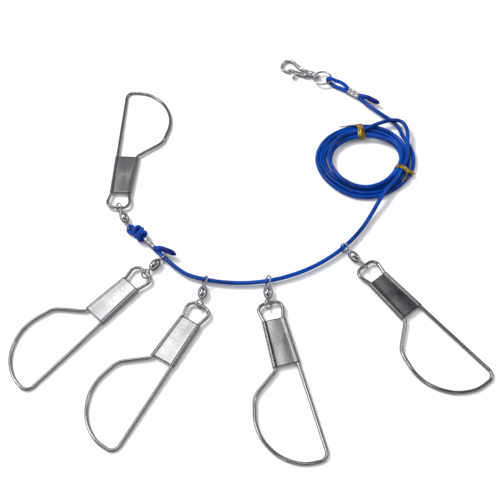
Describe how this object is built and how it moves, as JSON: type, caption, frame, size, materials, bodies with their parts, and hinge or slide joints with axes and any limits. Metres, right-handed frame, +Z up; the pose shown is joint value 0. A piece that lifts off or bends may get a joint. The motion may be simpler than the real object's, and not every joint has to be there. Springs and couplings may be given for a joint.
{
  "type": "fish stringer",
  "caption": "Fish stringer: spring wire clips with sheet sleeves on barrel swivels along a coated cord, with a wound and tied coil and a trigger snap at its end.",
  "frame": {"origin": "middle of the footprint of the clips, swivels and snap, on the floor that the stringer lies on", "axes": "+Z up from the floor, -Y the near side in the picture, +X to its right"},
  "size_m": [0.3383, 0.3624, 0.0094],
  "materials": {
    "wire": "bright drawn spring wire",
    "sleeve": "satin folded sheet",
    "swivel": "polished",
    "snap": "polished cast metal",
    "cord": "clear coated over blue braid",
    "crimp": "squeezed tube",
    "tie": "gold foil twist tie"
  },
  "bodies": {
    "cord": {"cord_run": "cord", "cord_coil": "cord", "cord_lead": "cord", "cord_knot": "cord", "cord_loop": "cord", "crimp_1": "crimp", "crimp_2": "crimp", "tie_1": "tie", "tie_2": "tie"},
    "swivel_1_cord_ring": {"swivel_1_cord_ring": "swivel"},
    "swivel_1_barrel": {"swivel_1_barrel": "swivel"},
    "swivel_1_eye_ring": {"swivel_1_eye_ring": "swivel"},
    "clip_1": {"clip_1_wire": "wire", "clip_1_sleeve": "sleeve"},
    "clip_1_leg": {"clip_1_leg": "wire"},
    "swivel_2_cord_ring": {"swivel_2_cord_ring": "swivel"},
    "swivel_2_barrel": {"swivel_2_barrel": "swivel"},
    "swivel_2_eye_ring": {"swivel_2_eye_ring": "swivel"},
    "clip_2": {"clip_2_wire": "wire", "clip_2_sleeve": "sleeve"},
    "clip_2_leg": {"clip_2_leg": "wire"},
    "swivel_3_cord_ring": {"swivel_3_cord_ring": "swivel"},
    "swivel_3_barrel": {"swivel_3_barrel": "swivel"},
    "swivel_3_eye_ring": {"swivel_3_eye_ring": "swivel"},
    "clip_3": {"clip_3_wire": "wire", "clip_3_sleeve": "sleeve"},
    "clip_3_leg": {"clip_3_leg": "wire"},
    "swivel_4_cord_ring": {"swivel_4_cord_ring": "swivel"},
    "swivel_4_barrel": {"swivel_4_barrel": "swivel"},
    "swivel_4_eye_ring": {"swivel_4_eye_ring": "swivel"},
    "clip_4": {"clip_4_wire": "wire", "clip_4_sleeve": "sleeve"},
    "clip_4_leg": {"clip_4_leg": "wire"},
    "swivel_5_cord_ring": {"swivel_5_cord_ring": "swivel"},
    "swivel_5_barrel": {"swivel_5_barrel": "swivel"},
    "swivel_5_eye_ring": {"swivel_5_eye_ring": "swivel"},
    "clip_5": {"clip_5_wire": "wire", "clip_5_sleeve": "sleeve"},
    "clip_5_leg": {"clip_5_leg": "wire"},
    "clasp_ring": {"clasp_ring": "snap"},
    "clasp_body": {"clasp_body": "snap", "clasp_rivet": "snap"},
    "clasp_gate": {"clasp_gate": "snap"}
  },
  "joints": [
    {"name": "swivel_1_swing", "type": "hinge", "parent": "cord", "child": "swivel_1_cord_ring", "pos_m": [-0.0819, 0.01013, 0.0034], "axis": [0, 0, 1], "range_deg": [-15, 15]},
    {"name": "swivel_1_barrel_spin", "type": "hinge", "parent": "swivel_1_cord_ring", "child": "swivel_1_barrel", "pos_m": [-0.08324, 0.01315, 0.0034], "axis": [-0.4067, 0.9135, 0], "continuous": true},
    {"name": "swivel_1_turn", "type": "hinge", "parent": "swivel_1_cord_ring", "child": "swivel_1_eye_ring", "pos_m": [-0.09154, 0.03178, 0.0034], "axis": [-0.4067, 0.9135, 0], "continuous": true},
    {"name": "clip_1_lift", "type": "hinge", "parent": "swivel_1_eye_ring", "child": "clip_1", "pos_m": [-0.0927, 0.03228, 0.00313], "axis": [0.9914, -0.1305, 0], "range_deg": [0, 100]},
    {"name": "clip_1_spring", "type": "hinge", "parent": "clip_1", "child": "clip_1_leg", "pos_m": [-0.08786, 0.14744, 0.00131], "axis": [0.6389, -0.0718, 0.7659], "range_deg": [0, 12], "stiffness_Nm_per_rad": 0.2, "springref_deg": -5.73},
    {"name": "swivel_2_slide", "type": "slide", "parent": "cord", "child": "swivel_2_cord_ring", "axis": [0.6494, -0.7604, 0], "range_m": [-0.0012, 0.006]},
    {"name": "swivel_2_barrel_spin", "type": "hinge", "parent": "swivel_2_cord_ring", "child": "swivel_2_barrel", "pos_m": [-0.05653, -0.0153, 0.0034], "axis": [-0.6691, -0.7431, 0], "continuous": true},
    {"name": "swivel_2_turn", "type": "hinge", "parent": "swivel_2_cord_ring", "child": "swivel_2_eye_ring", "pos_m": [-0.07018, -0.03046, 0.0034], "axis": [-0.6691, -0.7431, 0], "continuous": true},
    {"name": "clip_2_lift", "type": "hinge", "parent": "swivel_2_eye_ring", "child": "clip_2", "pos_m": [-0.07073, -0.02869, 0.00313], "axis": [-0.6756, 0.7373, 0], "range_deg": [0, 100]},
    {"name": "clip_2_spring", "type": "hinge", "parent": "clip_2", "child": "clip_2_leg", "pos_m": [-0.14845, -0.1138, 0.00131], "axis": [-0.4432, 0.4657, 0.7659], "range_deg": [0, 12], "stiffness_Nm_per_rad": 0.2, "springref_deg": -5.73},
    {"name": "swivel_3_slide", "type": "hinge", "parent": "cord", "child": "swivel_3_cord_ring", "pos_m": [0.009, 0.068, 0.0034], "axis": [0, 0, 1], "range_deg": [-6, 6]},
    {"name": "swivel_3_barrel_spin", "type": "hinge", "parent": "swivel_3_cord_ring", "child": "swivel_3_barrel", "pos_m": [-0.02592, -0.03968, 0.0034], "axis": [-0.2164, -0.9763, 0], "continuous": true},
    {"name": "swivel_3_turn", "type": "hinge", "parent": "swivel_3_cord_ring", "child": "swivel_3_eye_ring", "pos_m": [-0.03033, -0.05959, 0.0034], "axis": [-0.2164, -0.9763, 0], "range_deg": [-150, 150]},
    {"name": "clip_3_lift", "type": "hinge", "parent": "swivel_3_eye_ring", "child": "clip_3", "pos_m": [-0.02948, -0.06087, 0.00313], "axis": [-0.8192, 0.5736, 0], "range_deg": [0, 100]},
    {"name": "clip_3_spring", "type": "hinge", "parent": "clip_3", "child": "clip_3_leg", "pos_m": [-0.08694, -0.16078, 0.00131], "axis": [-0.5335, 0.3587, 0.7659], "range_deg": [0, 12], "stiffness_Nm_per_rad": 0.2, "springref_deg": -5.73},
    {"name": "swivel_4_slide", "type": "hinge", "parent": "cord", "child": "swivel_4_cord_ring", "pos_m": [0.009, 0.068, 0.0034], "axis": [0, 0, 1], "range_deg": [-6, 6]},
    {"name": "swivel_4_barrel_spin", "type": "hinge", "parent": "swivel_4_cord_ring", "child": "swivel_4_barrel", "pos_m": [0.02081, -0.04319, 0.0034], "axis": [-0.0785, -0.9969, 0], "continuous": true},
    {"name": "swivel_4_turn", "type": "hinge", "parent": "swivel_4_cord_ring", "child": "swivel_4_eye_ring", "pos_m": [0.01921, -0.06352, 0.0034], "axis": [-0.0785, -0.9969, 0], "range_deg": [-150, 150]},
    {"name": "clip_4_lift", "type": "hinge", "parent": "swivel_4_eye_ring", "child": "clip_4", "pos_m": [0.02006, -0.06259, 0.00313], "axis": [-0.9848, -0.1736, 0], "range_deg": [0, 100]},
    {"name": "clip_4_spring", "type": "hinge", "parent": "clip_4", "child": "clip_4_leg", "pos_m": [0.05008, -0.17387, 0.00131], "axis": [-0.6309, -0.1236, 0.7659], "range_deg": [0, 12], "stiffness_Nm_per_rad": 0.2, "springref_deg": -5.73},
    {"name": "swivel_5_slide", "type": "hinge", "parent": "cord", "child": "swivel_5_cord_ring", "pos_m": [0.009, 0.068, 0.0034], "axis": [0, 0, 1], "range_deg": [-8, 8]},
    {"name": "swivel_5_barrel_spin", "type": "hinge", "parent": "swivel_5_cord_ring", "child": "swivel_5_barrel", "pos_m": [0.08029, -0.02006, 0.0034], "axis": [0.6157, -0.788, 0], "continuous": true},
    {"name": "swivel_5_turn", "type": "hinge", "parent": "swivel_5_cord_ring", "child": "swivel_5_eye_ring", "pos_m": [0.09285, -0.03614, 0.0034], "axis": [0.6157, -0.788, 0], "continuous": true},
    {"name": "clip_5_lift", "type": "hinge", "parent": "swivel_5_eye_ring", "child": "clip_5", "pos_m": [0.09341, -0.03684, 0.00313], "axis": [-0.8192, -0.5736, 0], "range_deg": [0, 100]},
    {"name": "clip_5_spring", "type": "hinge", "parent": "clip_5", "child": "clip_5_leg", "pos_m": [0.16764, -0.12501, 0.00131], "axis": [-0.5196, -0.3787, 0.7659], "range_deg": [0, 12], "stiffness_Nm_per_rad": 0.2, "springref_deg": -5.73},
    {"name": "clasp_ring_lift", "type": "hinge", "parent": "cord", "child": "clasp_ring", "pos_m": [0.0882, 0.1487, 0.0042], "axis": [0.5519, 0.8339, 0], "range_deg": [0, 90]},
    {"name": "clasp_swivel", "type": "hinge", "parent": "clasp_ring", "child": "clasp_body", "pos_m": [0.07409, 0.15804, 0.00321], "axis": [-0.8325, 0.551, -0.0581], "continuous": true},
    {"name": "clasp_gate_swing", "type": "hinge", "parent": "clasp_body", "child": "clasp_gate", "pos_m": [0.06775, 0.15839, 0.0029], "axis": [0.0485, -0.0321, -0.9983], "range_deg": [0, 14], "stiffness_Nm_per_rad": 0.02, "springref_deg": -11.46}
  ]
}
